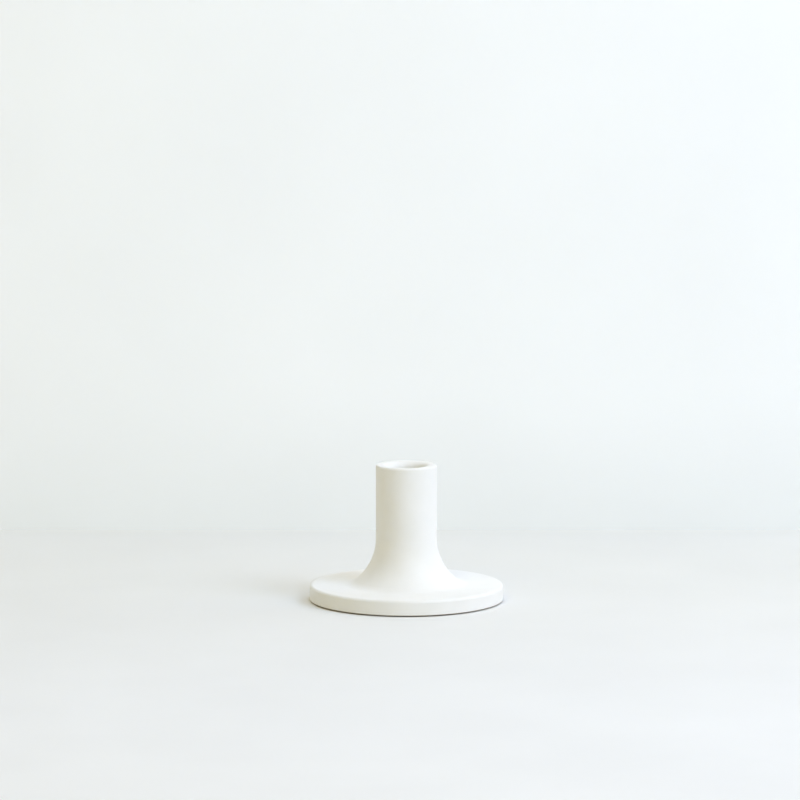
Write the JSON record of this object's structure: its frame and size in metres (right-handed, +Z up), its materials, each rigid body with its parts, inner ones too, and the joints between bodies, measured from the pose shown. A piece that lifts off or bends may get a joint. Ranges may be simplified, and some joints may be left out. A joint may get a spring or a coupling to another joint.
{
  "type": "candle holder",
  "caption": "Low ceramic candle holder: a stout stem with a socket in its rounded mouth flares in a cove onto a round disc base, which stands on small soft pads.",
  "frame": {"origin": "on the table surface, under the centre of the base", "axes": "+Z up along the stem's axis, out of the candle socket; X and Y across the base, with a foot pad in each quarter"},
  "size_m": [0.12, 0.12, 0.0848],
  "materials": {
    "matte_ceramic": "matte",
    "soft_silicone": "matte"
  },
  "bodies": {
    "root": {"base_disc": "matte_ceramic", "stem": "matte_ceramic", "foot_pad_1": "soft_silicone", "foot_pad_2": "soft_silicone", "foot_pad_3": "soft_silicone", "foot_pad_4": "soft_silicone"}
  },
  "joints": []
}
